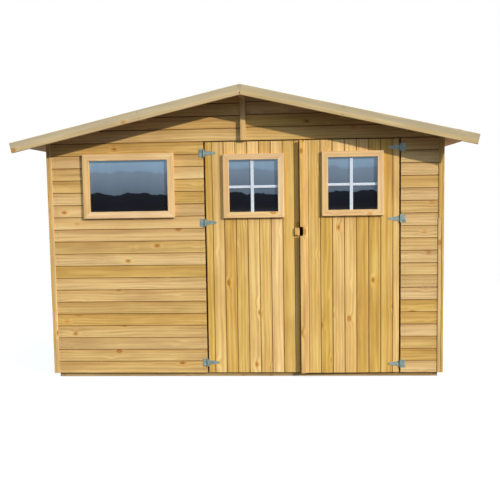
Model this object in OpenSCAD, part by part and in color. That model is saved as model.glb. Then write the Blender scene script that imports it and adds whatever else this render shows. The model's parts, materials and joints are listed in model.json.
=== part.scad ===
// Wooden garden shed: boarded panels on framing, felted gable roof, glazed double doors on T-hinges.
// Millimetres. X runs along the front to the right, Y runs from the front to the back, Z is up.
// The origin is on the ground at the middle of the plan.

/* [Overall] */
// Width over the corner battens
shed_w = 2980; // [2800:10:3800]
// Depth over the corner battens
shed_d = 2460; // [1800:10:3200]
// Height from the ground to the joint between wall panels and gables
panel_top = 1795; // [1650:5:2300]
// Height of the gable boards over the side walls
gable_foot = 26; // [20:1:60]
// Pitch of the roof in degrees
roof_pitch = 12.9; // [8:0.1:15]

/* [Floor] */
// Height of the bearers
bearer_h = 45; // [30:1:90]
// Width of the bearers and joists
bearer_w = 45; // [30:1:90]
// Number of joists between the side bearers
joist_count = 4; // [2:1:8]
// Thickness of the floor boards
floor_t = 16; // [12:1:28]
// Distance of the floor's edge behind the cladding
base_gap = 6; // [6:1:20]

/* [Walls] */
// Thickness of the cladding boards
clad_t = 16; // [10:1:28]
// Height of the cladding's lower edge above the ground
clad_z = 32; // [10:1:60]
// Depth of the wall framing, measured into the room
frame_d = 34; // [28:1:70]
// Face width of the wall framing
frame_w = 45; // [28:1:70]
// Number of studs inside the back wall, between the corners
back_stud_count = 4; // [2:1:8]
// Number of studs inside each side wall
side_stud_count = 3; // [2:1:8]
// Height of the rails halfway up the plain walls
mid_rail_z = 900; // [500:10:1300]
// Width of the corner battens on the front and the back
corner_end_w = 24; // [15:1:60]
// Thickness of the corner battens on the front and the back
corner_end_t = 6; // [5:1:25]
// Width of the corner battens on the sides, measured from the face of the front or the back ones
corner_side_w = 38; // [20:1:60]
// Thickness of the corner battens on the sides
corner_side_t = 16; // [8:1:25]
// Face width of the batten that covers the gable joint
king_w = 42; // [30:1:70]
// Thickness of the batten that covers the gable joint
king_t = 30; // [16:1:45]
// Offset of that batten from the middle
king_x = 9; // [-10:1:15]

/* [Roof] */
// Distance of the roof's eaves beyond the corner battens
eaves_overhang = 202; // [100:1:400]
// Distance of the bargeboards' front faces beyond the cladding
gable_overhang = 200; // [60:5:400]
// Width of the bargeboards
barge_w = 75; // [60:1:150]
// Thickness of the bargeboards
barge_t = 18; // [14:1:30]
// Thickness of the roof boards
deck_t = 16; // [12:1:28]
// Thickness of the roofing felt
felt_t = 2; // [2:0.5:5]
// Rise of the bargeboards above the felt
barge_rise = 3; // [3:1:20]
// Width of the felt cap over the ridge, on each side
cap_w = 150; // [80:5:300]
// Distance of the roof boards' ends behind the bargeboards' ends
deck_short = 10; // [0:1:30]
// Depth of the ridge beam
ridge_h = 48; // [40:1:150]
// Width of the ridge beam
ridge_w = 45; // [34:1:90]
// Depth of the purlins
purlin_h = 34; // [28:1:90]
// Width of the purlins
purlin_w = 45; // [28:1:70]
// Distance of the purlins down the slope from the ridge
purlin_at = 740; // [500:10:1000]

/* [Front window] */
// Outer width of the casing
window_w = 694; // [400:1:750]
// Outer height of the casing
window_h = 484; // [300:1:800]
// Face width of the casing boards
window_member = 50; // [30:1:80]
// Distance of the casing from the left corner of the cladding
window_in = 263; // [120:1:300]
// Distance of the casing's top below the top of the panel
window_down = 83; // [60:1:200]

/* [Glazing] */
// Thickness of every casing, measured out from the cladding
casing_t = 23; // [12:1:35]
// Thickness of the glass
glass_t = 4; // [3:0.5:8]
// Lap of the glass behind the casing
glass_lap = 10; // [5:1:20]
// Clearance round the edges of the glass
glass_gap = 1; // [0.5:0.5:3]

/* [Doors] */
// Distance of the doorway from the right corner of the cladding
doorway_in = 300; // [200:1:500]
// Width of the doorway
doorway_w = 1468; // [1200:1:1800]
// Gap between a leaf and the doorway beside, above and below it
leaf_gap = 8; // [6:1:15]
// Distance of the meeting of the leaves to the left of the doorway's middle
meeting_shift = 7; // [-30:1:30]
// Gap between the leaves, behind the cover strip
meeting_gap = 26; // [20:1:40]
// Height of the leaves' lower edges above the ground
leaf_z = 34; // [10:1:60]
// Angle at which the right leaf stands ajar
door_ajar = 1.5; // [0:0.5:5]
// Depth of the leaves' framing
leaf_frame_d = 28; // [20:1:45]
// Face width of the leaves' framing
leaf_frame_w = 60; // [40:1:90]
// Distance of the leaves' framing inside their edges
leaf_frame_in = 4; // [2:1:10]
// Clearance of the leaves' framing above the floor
floor_clear = 9; // [6:1:20]
// Height of the lower rail of each leaf above the floor
low_rail_up = 560; // [300:10:800]
// Outer width of the casings in the leaves
door_casing_w = 455; // [300:1:560]
// Outer height of the casings in the leaves
door_casing_h = 478; // [300:1:700]
// Face width of the casing boards in the leaves
door_member = 45; // [30:1:70]
// Distance of the left leaf's window from the leaf's middle, away from its hinges
left_window_shift = 13; // [-20:1:20]
// Distance of the left leaf's casing below its top
left_window_down = 91; // [60:1:200]
// Distance of the right leaf's window from the leaf's middle, away from its hinges
right_window_shift = -10; // [-20:1:20]
// Distance of the right leaf's casing below its top
right_window_down = 85; // [60:1:200]
// Face width of the upright glazing bar
bar_w = 24; // [14:1:40]
// Face width of the level glazing bar
bar_h = 20; // [14:1:40]
// Thickness of the glazing bars
bar_t = 8; // [4:1:15]
// Distance of the upright bar to the left of the casing's middle, seen from the front
bar_left = 10; // [0:1:20]
// Distance of the level bar below the casing's middle
bar_down = 7; // [0:1:20]
// Width of the cover strip on the right leaf
strip_w = 33; // [28:1:60]
// Thickness of the cover strip
strip_t = 14; // [10:1:30]
// Projection of the cover strip beyond the right leaf's edge
strip_lap = 22; // [5:1:23]
// Distance of the lock's break in the cover strip below the leaf's top
lock_down = 675; // [500:5:900]
// Height of the break in the cover strip
lock_h = 68; // [50:1:120]
// Clearance between the keep and the ends of the cover strip
keep_gap = 7; // [5:1:15]
// Width of the keep on the left leaf
keep_w = 36; // [20:1:60]
// Projection of the keep beyond the left leaf's edge
keep_lap = 1; // [0:1:15]
// Thickness of the keep
keep_t = 16; // [8:1:25]

/* [Hinges] */
// Distance of the hinge pins in front of the cladding
pin_out = 7; // [7:0.5:15]
// Radius of the hinge pins
pin_r = 3; // [2:0.5:5]
// Radial clearance of the pins in the straps
pin_clear = 0.05; // [0.01:0.01:0.1]
// Outer radius of the hinge knuckles
knuckle_r = 6.5; // [5:0.5:9]
// Length of the strap's knuckle
strap_knuckle = 20; // [12:1:40]
// Length of each of the plate's knuckles
plate_knuckle = 18; // [10:1:30]
// Gap between knuckles
knuckle_gap = 0.5; // [0.2:0.1:1]
// Thickness of straps and plates
hinge_t = 3; // [2:0.5:5]
// Length of the necks between knuckles and straps or plates
neck_l = 1.5; // [1:0.5:5]
// Length of the straps from the pin
strap_l = 92; // [60:5:300]
// Width of the straps at the pin
strap_root = 36; // [20:1:50]
// Width of the straps at the tip
strap_tip = 17; // [10:1:40]
// Width of the plates
plate_w = 38; // [25:1:60]
// Heights of the left leaf's upper and middle hinges below its top
left_hinge_down = [81, 601]; // [40:1:900]
// Height of the left leaf's lower hinge above its bottom
left_hinge_up = 78; // [40:1:300]
// Heights of the right leaf's upper and middle hinges below its top
right_hinge_down = [62, 589]; // [40:1:900]
// Height of the right leaf's lower hinge above its bottom
right_hinge_up = 66; // [40:1:300]

/* [Hidden] */
$fn = 48;
pine = "#D2A968";
pale_pine = "#E6C79C";
dull_pine = "#BCA77B";
felt_grey = "#3C3F40";
zinc = "#8A9A98";
pane = "#7C93A8";
// How far a cutter runs past what it cuts, and a length longer than the shed
past = 1;
reach = 6000;

// Outer faces and inner faces of the cladding
clad_x = shed_w / 2 - corner_side_t;
clad_y = shed_d / 2 - corner_end_t;
in_x = clad_x - clad_t;
in_y = clad_y - clad_t;
// Half sizes of the floor
base_x = in_x - base_gap;
base_y = in_y - base_gap;
floor_z = bearer_h + floor_t;
// Room faces of the framing
room_x = in_x - frame_d;
room_y = in_y - frame_d;

// The roof's layers are measured square to the slope, down from the bargeboards' top edge
felt_top = -barge_rise;
deck_top = felt_top - felt_t;
deck_low = deck_top - deck_t;
slope_tan = tan(roof_pitch);
roof_half = shed_w / 2 + eaves_overhang;
slope_l = roof_half / cos(roof_pitch);
barge_y = clad_y + gable_overhang;
deck_y = barge_y - barge_t;
ridge_z = panel_top + gable_foot + clad_x * slope_tan;
apex_z = ridge_z - deck_low / cos(roof_pitch);
function deck_z(x) = ridge_z - abs(x) * slope_tan;

// Front window
window_x0 = -clad_x + window_in;
window_x1 = window_x0 + window_w;
window_z1 = panel_top - window_down;
window_z0 = window_z1 - window_h;
hole_in = window_member - glass_lap;

// Doorway and leaves
door_x1 = clad_x - doorway_in;
door_x0 = door_x1 - doorway_w;
leaf_top = panel_top - leaf_gap;
leaf_h = leaf_top - leaf_z;
leaf_w = (doorway_w - 2 * leaf_gap - meeting_gap) / 2;
left_leaf_w = leaf_w - meeting_shift;
right_leaf_w = leaf_w + meeting_shift;
left_window_at = left_leaf_w / 2 + left_window_shift;
right_window_at = right_leaf_w / 2 + right_window_shift;
door_hole_in = door_member - glass_lap;
lock_z = leaf_top - lock_down;
post_half = max(abs(door_x0), abs(door_x1)) + frame_w;
plate_top = panel_top + frame_d;
left_pin_x = door_x0 + leaf_gap / 2;
right_pin_x = door_x1 - leaf_gap / 2;
pin_y = -clad_y - pin_out;
left_hinges = [leaf_z + left_hinge_up, leaf_top - left_hinge_down[1], leaf_top - left_hinge_down[0]];
right_hinges = [leaf_z + right_hinge_up, leaf_top - right_hinge_down[1], leaf_top - right_hinge_down[0]];

// A box between two corners
module block(low, high) {
    translate(low) cube(high - low);
}

// Extrudes an X-Z outline from y0 to y1
module along_y(y0, y1) {
    translate([0, y1, 0]) rotate([90, 0, 0]) linear_extrude(y1 - y0) children();
}

// Repeats at the front and, mirrored, at the back
module both_ends() {
    children();
    mirror([0, 1, 0]) children();
}

// Repeats on the right and, mirrored, on the left
module both_sides() {
    children();
    mirror([1, 0, 0]) children();
}

// X-Z outline of a layer of the right slope: u runs down the slope, w is square to it
module slope_outline(u0, u1, w0, w1) {
    translate([0, apex_z]) intersection() {
        rotate(-roof_pitch) translate([u0, w0]) square([u1 - u0, w1 - w0]);
        translate([0, -apex_z]) square([2 * roof_half, 2 * apex_z]);
    }
}

// A layer that starts at the ridge
module roof_outline(u1, w0, w1) {
    slope_outline(w0 * slope_tan - barge_w, u1, w0, w1);
}

// X-Z outline of all that lies below the right slope's roof boards. Everything the boards rest on
// is cut with it, so that they meet face to face
module below_boards() {
    translate([0, apex_z]) rotate(-roof_pitch) translate([-reach, deck_low - reach])
        square([2 * reach, reach]);
}

// X-Z outline that stands from z0 up to the roof boards, between two distances from the ridge
module under_roof(x0, x1, z0) {
    intersection() {
        translate([x0, z0]) square([x1 - x0, apex_z]);
        below_boards();
    }
}

// X-Z outline of the ridge beam, whose top follows both slopes
module ridge_outline() {
    intersection() {
        translate([-ridge_w / 2, ridge_z - ridge_h]) square([ridge_w, 2 * ridge_h]);
        below_boards();
        mirror([1, 0]) below_boards();
    }
}

// X-Z outline of the purlin on the right slope
module purlin_outline() {
    slope_outline(purlin_at, purlin_at + purlin_w, deck_low - purlin_h, deck_low);
}

// X-Z outline of the notches over the ridge beam and the purlin, open at the top
module roof_notches() {
    translate([-ridge_w / 2, ridge_z - ridge_h]) square([ridge_w, 2 * ridge_h]);
    slope_outline(purlin_at, purlin_at + purlin_w, deck_low - purlin_h, deck_top);
}

// A rectangular frame of boards round an opening, lying against the front of y
module casing(x0, x1, z0, z1, member, y) {
    difference() {
        block([x0, y - casing_t, z0], [x1, y, z1]);
        block([x0 + member, y - casing_t - past, z0 + member], [x1 - member, y + past, z1 - member]);
    }
}

// A pane behind a casing, inside the hole in the boards
module pane_in(x0, x1, z0, z1, hole, y) {
    inset = hole + glass_gap;
    block([x0 + inset, y, z0 + inset], [x1 - inset, y + glass_t, z1 - inset]);
}

// Floor

module bearers() {
    pitch = (2 * base_x - bearer_w) / (joist_count + 1);
    color(dull_pine) both_sides() block([base_x - bearer_w, -base_y, 0], [base_x, base_y, bearer_h]);
    color(dull_pine) for (i = [1 : joist_count]) {
        x = -base_x + i * pitch;
        block([x, -base_y + bearer_w, 0], [x + bearer_w, base_y - bearer_w, bearer_h]);
    }
}

module end_bearers() {
    color(dull_pine) both_ends()
        block([-base_x + bearer_w, -base_y, 0], [base_x - bearer_w, -base_y + bearer_w, bearer_h]);
}

module floor_deck() {
    color(pine) block([-base_x, -base_y, bearer_h], [base_x, base_y, floor_z]);
}

// Walls

module front_panel_left() {
    color(pine) difference() {
        block([-in_x, -clad_y, clad_z], [door_x0, -in_y, panel_top]);
        block([window_x0 + hole_in, -clad_y - past, window_z0 + hole_in],
            [window_x1 - hole_in, -in_y + past, window_z1 - hole_in]);
    }
}

module front_panel_right() {
    color(pine) block([door_x1, -clad_y, clad_z], [in_x, -in_y, panel_top]);
}

// X-Z outline of the right half of a gable, from the middle to the side cladding
module half_gable() {
    difference() {
        under_roof(0, in_x, panel_top);
        roof_notches();
    }
}

module front_gable_left() {
    color(pine) along_y(-clad_y, -in_y) mirror([1, 0]) half_gable();
}

module front_gable_right() {
    color(pine) along_y(-clad_y, -in_y) half_gable();
}

module back_panel() {
    color(pine) block([-in_x, in_y, clad_z], [in_x, clad_y, panel_top]);
}

module back_gable() {
    color(pine) along_y(in_y, clad_y) both_sides() half_gable();
}

module side_panel() {
    along_y(-clad_y, clad_y) under_roof(in_x, clad_x, clad_z);
}

module left_side_panel() {
    color(pine) mirror([1, 0, 0]) side_panel();
}

module right_side_panel() {
    color(pine) side_panel();
}

// An upright of an end wall, from its bottom rail to its top rail
module end_stud(x) {
    block([x, -in_y, floor_z + frame_w], [x + frame_w, -room_y, panel_top - frame_w]);
}

// Places along a run of n studs between two ends
function stud_places(from, to, n) = [for (i = [1 : n]) from + i * (to - from) / (n + 1) - frame_w / 2];

module wall_studs() {
    color(pine) both_ends() both_sides() end_stud(in_x - frame_w);
    color(pine) end_stud(window_x0 + hole_in - frame_w);
    color(pine) end_stud(window_x1 - hole_in);
    color(pine) mirror([0, 1, 0]) for (x = stud_places(-in_x, in_x, back_stud_count)) end_stud(x);
    color(pine) both_sides() for (y = stud_places(-room_y, room_y, side_stud_count))
        block([room_x, y, floor_z + frame_w], [in_x, y + frame_w, deck_z(in_x) - frame_w]);
}

// A rail of an end wall between two uprights
module end_rail(x0, x1, z) {
    block([x0, -in_y, z], [x1, -room_y, z + frame_w]);
}

module end_wall_rails() {
    backs = concat([-in_x], stud_places(-in_x, in_x, back_stud_count), [in_x - frame_w]);
    color(pine) for (z = [floor_z, panel_top - frame_w]) {
        end_rail(-in_x, door_x0 - frame_w, z);
        end_rail(door_x1 + frame_w, in_x, z);
        mirror([0, 1, 0]) end_rail(-in_x, in_x, z);
    }
    color(pine) for (z = [window_z0 + hole_in - frame_w, window_z1 - hole_in])
        end_rail(window_x0 + hole_in, window_x1 - hole_in, z);
    color(pine) mirror([0, 1, 0]) for (i = [0 : back_stud_count])
        end_rail(backs[i] + frame_w, backs[i + 1], mid_rail_z);
}

module side_wall_rails() {
    studs = concat([-room_y - frame_w], stud_places(-room_y, room_y, side_stud_count), [room_y]);
    top_z = deck_z(in_x) - frame_w;
    color(pine) both_sides() {
        block([room_x, -room_y, floor_z], [in_x, room_y, floor_z + frame_w]);
        along_y(-room_y, room_y) under_roof(room_x, in_x, top_z);
        for (i = [0 : side_stud_count])
            block([room_x, studs[i] + frame_w, mid_rail_z], [in_x, studs[i + 1], mid_rail_z + frame_w]);
    }
}

module door_posts() {
    color(pine) for (x = [door_x0 - frame_w, door_x1])
        block([x, -in_y, floor_z], [x + frame_w, -room_y, panel_top]);
}

// The timber over the doorway, and its twin along the foot of the back gable
module gable_plates() {
    color(pine) both_ends() block([-post_half, -in_y, panel_top], [post_half, -room_y, plate_top]);
}

module gable_rafters() {
    color(pine) both_ends() both_sides() along_y(-in_y, -room_y) difference() {
        intersection() {
            roof_outline(slope_l, deck_low - frame_w, deck_low);
            translate([ridge_w / 2, plate_top]) square([post_half - ridge_w / 2, apex_z]);
        }
        roof_notches();
    }
}

module end_corner_battens() {
    color(pine) both_ends() both_sides() along_y(-shed_d / 2, -clad_y)
        under_roof(clad_x - corner_end_w, clad_x, clad_z);
}

module side_corner_battens() {
    color(pine) both_ends() both_sides() along_y(-shed_d / 2, -shed_d / 2 + corner_side_w)
        under_roof(clad_x, shed_w / 2, clad_z);
}

module king_battens() {
    x0 = king_x - king_w / 2;
    color(pine) both_ends()
        block([x0, -clad_y - king_t, panel_top], [x0 + king_w, -clad_y, ridge_z - ridge_h]);
}

// Roof

module ridge_beam() {
    color(pine) along_y(-deck_y, deck_y) ridge_outline();
}

module purlins() {
    color(pine) both_sides() along_y(-deck_y, deck_y) purlin_outline();
}

module half_deck() {
    along_y(-deck_y, deck_y) roof_outline(slope_l - deck_short, deck_low, deck_top);
}

module half_felt() {
    along_y(-deck_y, deck_y) roof_outline(slope_l - deck_short, deck_top, felt_top);
}

module bargeboard() {
    along_y(-barge_y, -deck_y) roof_outline(slope_l, -barge_w, 0);
}

module roof_deck_left() {
    color(pine) mirror([1, 0, 0]) half_deck();
}

module roof_deck_right() {
    color(pine) half_deck();
}

module roof_felt_left() {
    color(felt_grey) mirror([1, 0, 0]) half_felt();
}

module roof_felt_right() {
    color(felt_grey) half_felt();
}

module ridge_cap() {
    color(felt_grey) both_sides() along_y(-deck_y, deck_y) roof_outline(cap_w, felt_top, felt_top + felt_t);
}

module front_bargeboard_left() {
    color(dull_pine) mirror([1, 0, 0]) bargeboard();
}

module front_bargeboard_right() {
    color(dull_pine) bargeboard();
}

module back_bargeboard_left() {
    color(dull_pine) mirror([0, 1, 0]) mirror([1, 0, 0]) bargeboard();
}

module back_bargeboard_right() {
    color(dull_pine) mirror([0, 1, 0]) bargeboard();
}

// Front window

module window_casing() {
    color(pale_pine) casing(window_x0, window_x1, window_z0, window_z1, window_member, -clad_y);
}

module window_glass() {
    color(pane) pane_in(window_x0, window_x1, window_z0, window_z1, hole_in, -clad_y);
}

// Hinges: the pin stands at the origin, the strap runs to +X and the plate to -X,
// and both lie against the boards at y = pin_out

module knuckle(z, length) {
    translate([0, 0, z]) cylinder(r = knuckle_r, h = length);
}

// X-Z outline of a strap, which narrows to a pointed tip
module strap_outline(x0) {
    shoulder = strap_l - strap_tip / 2;
    polygon([[x0, -strap_root / 2], [shoulder, -strap_tip / 2], [strap_l, 0],
        [shoulder, strap_tip / 2], [x0, strap_root / 2]]);
}

module strap() {
    neck = knuckle_r + neck_l;
    difference() {
        union() {
            knuckle(-strap_knuckle / 2, strap_knuckle);
            block([0, pin_out - hinge_t, -strap_knuckle / 2], [neck, pin_out, strap_knuckle / 2]);
            along_y(pin_out - hinge_t, pin_out) strap_outline(neck);
        }
        translate([0, 0, -strap_knuckle]) cylinder(r = pin_r + pin_clear, h = 2 * strap_knuckle);
    }
}

module plate() {
    neck = knuckle_r + neck_l;
    z0 = strap_knuckle / 2 + knuckle_gap;
    z1 = z0 + plate_knuckle;
    translate([0, 0, -z1]) cylinder(r = pin_r, h = 2 * z1);
    for (z = [-z1, z0]) {
        knuckle(z, plate_knuckle);
        block([-neck, pin_out - hinge_t, z], [0, pin_out, z + plate_knuckle]);
    }
    block([-plate_w, pin_out - hinge_t, -z1], [-neck, pin_out, z1]);
}

module on_left_pins() {
    for (z = left_hinges) translate([left_pin_x, pin_y, z]) children();
}

module on_right_pins() {
    for (z = right_hinges) translate([right_pin_x, pin_y, z]) mirror([1, 0, 0]) children();
}

module hinge_plates() {
    color(zinc) on_left_pins() plate();
    color(zinc) on_right_pins() plate();
}

// Leaves: each is drawn from its hinge edge at x = 0 to its meeting edge at x = width,
// with its boards' front face at y = 0 and heights from the ground

module leaf_boards(width, window_at, window_top) {
    x0 = window_at - door_casing_w / 2 + door_hole_in;
    x1 = window_at + door_casing_w / 2 - door_hole_in;
    difference() {
        block([0, 0, leaf_z], [width, clad_t, leaf_top]);
        block([x0, -past, window_top - door_casing_h + door_hole_in],
            [x1, clad_t + past, window_top - door_hole_in]);
    }
}

module leaf_stiles(width) {
    for (x = [leaf_frame_in, width - leaf_frame_in - leaf_frame_w])
        block([x, clad_t, floor_z + floor_clear],
            [x + leaf_frame_w, clad_t + leaf_frame_d, leaf_top - leaf_frame_in]);
}

module leaf_rails(width, window_top) {
    foot = floor_z + floor_clear;
    sill = window_top - door_casing_h + door_hole_in - leaf_frame_w;
    x0 = leaf_frame_in + leaf_frame_w;
    for (z = [foot, foot + low_rail_up, sill, window_top - door_hole_in])
        block([x0, clad_t, z], [width - x0, clad_t + leaf_frame_d, z + leaf_frame_w]);
}

module leaf_casing(window_at, window_top) {
    casing(window_at - door_casing_w / 2, window_at + door_casing_w / 2,
        window_top - door_casing_h, window_top, door_member, 0);
}

module leaf_glass(window_at, window_top) {
    pane_in(window_at - door_casing_w / 2, window_at + door_casing_w / 2,
        window_top - door_casing_h, window_top, door_hole_in, 0);
}

module leaf_bars(window_at, window_top, bar_at) {
    half_w = door_casing_w / 2 - door_member;
    mid_z = window_top - door_casing_h / 2 - bar_down;
    block([bar_at - bar_w / 2, -bar_t, window_top - door_casing_h + door_member],
        [bar_at + bar_w / 2, 0, window_top - door_member]);
    block([window_at - half_w, -bar_t, mid_z - bar_h / 2], [window_at + half_w, 0, mid_z + bar_h / 2]);
}

module in_left_leaf() {
    translate([door_x0 + leaf_gap, -clad_y, 0]) children();
}

// Turns what is on the right leaf about its hinge pins, by the angle at which it stands ajar
module ajar() {
    translate([right_pin_x, pin_y, 0]) rotate([0, 0, door_ajar]) translate([-right_pin_x, -pin_y, 0])
        children();
}

module in_right_leaf() {
    ajar() translate([door_x1 - leaf_gap, -clad_y, 0]) mirror([1, 0, 0]) children();
}

module left_door_boards() {
    color(pine) in_left_leaf() leaf_boards(left_leaf_w, left_window_at, leaf_top - left_window_down);
}

module left_door_stiles() {
    color(pine) in_left_leaf() leaf_stiles(left_leaf_w);
}

module left_door_rails() {
    color(pine) in_left_leaf() leaf_rails(left_leaf_w, leaf_top - left_window_down);
}

module left_door_casing() {
    color(pale_pine) in_left_leaf() leaf_casing(left_window_at, leaf_top - left_window_down);
}

module left_door_glass() {
    color(pane) in_left_leaf() leaf_glass(left_window_at, leaf_top - left_window_down);
}

module left_door_glazing_bars() {
    color("white") in_left_leaf()
        leaf_bars(left_window_at, leaf_top - left_window_down, left_window_at - bar_left);
}

module left_door_straps() {
    color(zinc) on_left_pins() strap();
}

// The keep stands in the break of the cover strip
module left_door_keep() {
    x1 = left_leaf_w + keep_lap;
    half_h = lock_h / 2 - keep_gap;
    color(pale_pine) in_left_leaf()
        block([x1 - keep_w, -keep_t, lock_z - half_h], [x1, 0, lock_z + half_h]);
}

module right_door_boards() {
    color(pine) in_right_leaf()
        leaf_boards(right_leaf_w, right_window_at, leaf_top - right_window_down);
}

module right_door_stiles() {
    color(pine) in_right_leaf() leaf_stiles(right_leaf_w);
}

module right_door_rails() {
    color(pine) in_right_leaf() leaf_rails(right_leaf_w, leaf_top - right_window_down);
}

module right_door_casing() {
    color(pale_pine) in_right_leaf() leaf_casing(right_window_at, leaf_top - right_window_down);
}

module right_door_glass() {
    color(pane) in_right_leaf() leaf_glass(right_window_at, leaf_top - right_window_down);
}

module right_door_glazing_bars() {
    color("white") in_right_leaf()
        leaf_bars(right_window_at, leaf_top - right_window_down, right_window_at + bar_left);
}

module right_door_straps() {
    color(zinc) ajar() on_right_pins() strap();
}

// The strip covers the gap between the leaves, with a break at the lock
module right_door_cover_strips() {
    x1 = right_leaf_w + strip_lap;
    color(pine) in_right_leaf() {
        block([x1 - strip_w, -strip_t, leaf_z], [x1, 0, lock_z - lock_h / 2]);
        block([x1 - strip_w, -strip_t, lock_z + lock_h / 2], [x1, 0, leaf_top]);
    }
}

bearers();
end_bearers();
floor_deck();
front_panel_left();
front_panel_right();
front_gable_left();
front_gable_right();
back_panel();
back_gable();
left_side_panel();
right_side_panel();
wall_studs();
end_wall_rails();
side_wall_rails();
door_posts();
gable_plates();
gable_rafters();
ridge_beam();
purlins();
roof_deck_left();
roof_deck_right();
roof_felt_left();
roof_felt_right();
ridge_cap();
front_bargeboard_left();
front_bargeboard_right();
back_bargeboard_left();
back_bargeboard_right();
end_corner_battens();
side_corner_battens();
king_battens();
window_casing();
window_glass();
hinge_plates();
left_door_boards();
left_door_stiles();
left_door_rails();
left_door_casing();
left_door_glass();
left_door_glazing_bars();
left_door_straps();
left_door_keep();
right_door_boards();
right_door_stiles();
right_door_rails();
right_door_casing();
right_door_glass();
right_door_glazing_bars();
right_door_straps();
right_door_cover_strips();
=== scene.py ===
"""A wooden garden shed: shiplap walls, a felted gable roof, a fixed window and glazed double doors.

Every board is a piece of timber with its own grain. Metres, X to the right along the front,
Y from the front to the back, Z up. Sizes and places come from the CAD frame.
"""

import json
import math
import random

import bmesh
import bpy
from mathutils import Matrix, Vector


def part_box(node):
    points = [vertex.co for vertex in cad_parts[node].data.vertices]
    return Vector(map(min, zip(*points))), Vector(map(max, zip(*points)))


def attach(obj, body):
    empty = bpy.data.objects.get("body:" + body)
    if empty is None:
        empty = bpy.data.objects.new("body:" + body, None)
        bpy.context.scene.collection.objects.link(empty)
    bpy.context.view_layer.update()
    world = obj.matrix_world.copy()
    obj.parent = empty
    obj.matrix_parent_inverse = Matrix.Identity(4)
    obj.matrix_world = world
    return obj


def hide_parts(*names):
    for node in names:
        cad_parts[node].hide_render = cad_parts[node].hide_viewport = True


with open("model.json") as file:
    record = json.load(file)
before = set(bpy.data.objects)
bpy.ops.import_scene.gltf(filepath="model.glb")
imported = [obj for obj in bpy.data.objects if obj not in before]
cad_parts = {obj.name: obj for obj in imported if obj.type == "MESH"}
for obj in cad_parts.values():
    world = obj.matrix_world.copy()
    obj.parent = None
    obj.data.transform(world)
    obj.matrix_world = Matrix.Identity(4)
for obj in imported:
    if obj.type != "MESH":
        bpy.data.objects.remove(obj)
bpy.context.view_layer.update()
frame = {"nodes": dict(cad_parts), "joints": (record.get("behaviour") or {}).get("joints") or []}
X, Y, Z = 0, 1, 2

# Boards, and how their edges are worked
SHIPLAP_COVER = 0.0928
SHIPLAP_COVE = 0.0062
ROOF_COVER = 0.0937
FLOOR_COVER = 0.0925
LEAST_BOARD = 0.004
MATCHED_V = 0.0028
ARRIS = 0.0012
BATTEN_ARRIS = 0.0025
MITRE_GAP = 0.0018
BARGE_MITRE = 0.003
# Each leaf's first board and the cover of the rest, and how far the boards stop short of the hinge side
LEFT_LEAF_BOARDS = (0.056, 0.0879)
RIGHT_LEAF_BOARDS = (0.042, 0.0897)
LEAF_TRIM = 0.0035
# The right half of the gable starts with a slightly wider board than the left
GABLE_STEP = 0.0065
GLASS_SLACK = 0.001
# Where the two lengths of one corner batten meet, and how far they are out of line
SPLICE_Z = 1.20
SPLICE_STEP = 0.004

# Patterns in the wood, in millimetres along, across and through the board
KNOTS = (217, 139, 139)
WANDER = (625, 111, 111)
RINGS = (16700, 1000, 1000)
STREAKS = (450, 10.5, 10.5)
FIBRES = (70, 1.1, 1.1)
FLAMES = (380, 38, 38)
STAINS = (420, 165, 165)
# Metres from one growth ring to the next
RING_STEP = 0.0224

# Glazing bars
BAR_ROUND = 0.003
BAR_STEP = 0.0008

# Roofing felt, and its clouts
FELT_SIDE_LAP = 0.085
FELT_ROLL = 0.93
FELT_BEND = 0.012
CLOUT_STEP = 0.12
CLOUT_EDGE_IN = 0.03
CLOUT_LAP_IN = 0.025

# Heads of clouts, nails and screws
CLOUT_R = 0.005
CLOUT_H = 0.0013
BARGE_NAIL_R = 0.0045
BARGE_NAIL_IN = 0.014
NAIL_R = 0.0024
NAIL_H = 0.0006
NAIL_IN = 0.032
NAIL_RISES = (0.25, 0.5, 0.75)
NAIL_STRAY = 0.004
SCREW_R = 0.0038
SCREW_H = 0.0016
HEAD_INSET = 0.35
HINGE_T = 0.003
# Screws along a strap, as a share of its length with a rise, and in a plate, as shares of its sides
STRAP_SCREWS = ((0.30, 0.008), (0.30, -0.008), (0.58, 0.0), (0.83, 0.0))
PLATE_SCREWS = ((0.20, -0.36), (0.20, 0.36), (0.55, -0.36), (0.55, 0.36))
FACING_FRONT = Matrix.Rotation(math.radians(90), 4, "X")

# Surroundings
FLOOR_R = 60
FLOOR_FADE = (1.8, 6.0)
SKY_TONE = (0.70, 0.85, 1.0, 1)
SKY_RISE = (0.0, 0.62)
SKY_STRENGTH = (0.11, 1.62)

# Camera
CAMERA_AT = (0.310, -6.224, 1.382)
CAMERA_LENS = 47.88
CAMERA_YAW = 3.02
CAMERA_PITCH = 4.65
CAMERA_ROLL = -0.90

dice = random.Random(11)


# Reading the frame


def corners(node, keep=lambda p: True, turn=Matrix()):
    """The points of a CAD node that keep() accepts, after a turn."""
    points = [turn @ v.co for v in frame["nodes"][node].data.vertices]
    return [p for p in points if keep(p)]


def span(points):
    """The lowest and the highest corner of some points."""
    low = Vector(min(p[i] for p in points) for i in range(3))
    high = Vector(max(p[i] for p in points) for i in range(3))
    return low, high


def solids(node, turn=Matrix()):
    """The points of each separate solid of a CAD node, after a turn."""
    mesh = frame["nodes"][node].data
    groups = []
    for face in mesh.polygons:
        spots = {tuple(round(c, 5) for c in mesh.vertices[i].co) for i in face.vertices}
        touching = [g for g in groups if not g.isdisjoint(spots)]
        groups = [g for g in groups if g.isdisjoint(spots)] + [spots.union(*touching)]
    return [[turn @ Vector(p) for p in g] for g in groups]


right_hinge = next(j for j in frame["joints"] if j["name"] == "right_door_hinge")
right_pin = Matrix.Translation(right_hinge["pos_m"])
right_turn = Matrix.Rotation(-math.radians(right_hinge["range_deg"][0]), 4, "Z")
AJAR = right_pin @ right_turn @ right_pin.inverted()
CLOSED = AJAR.inverted()

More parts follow.
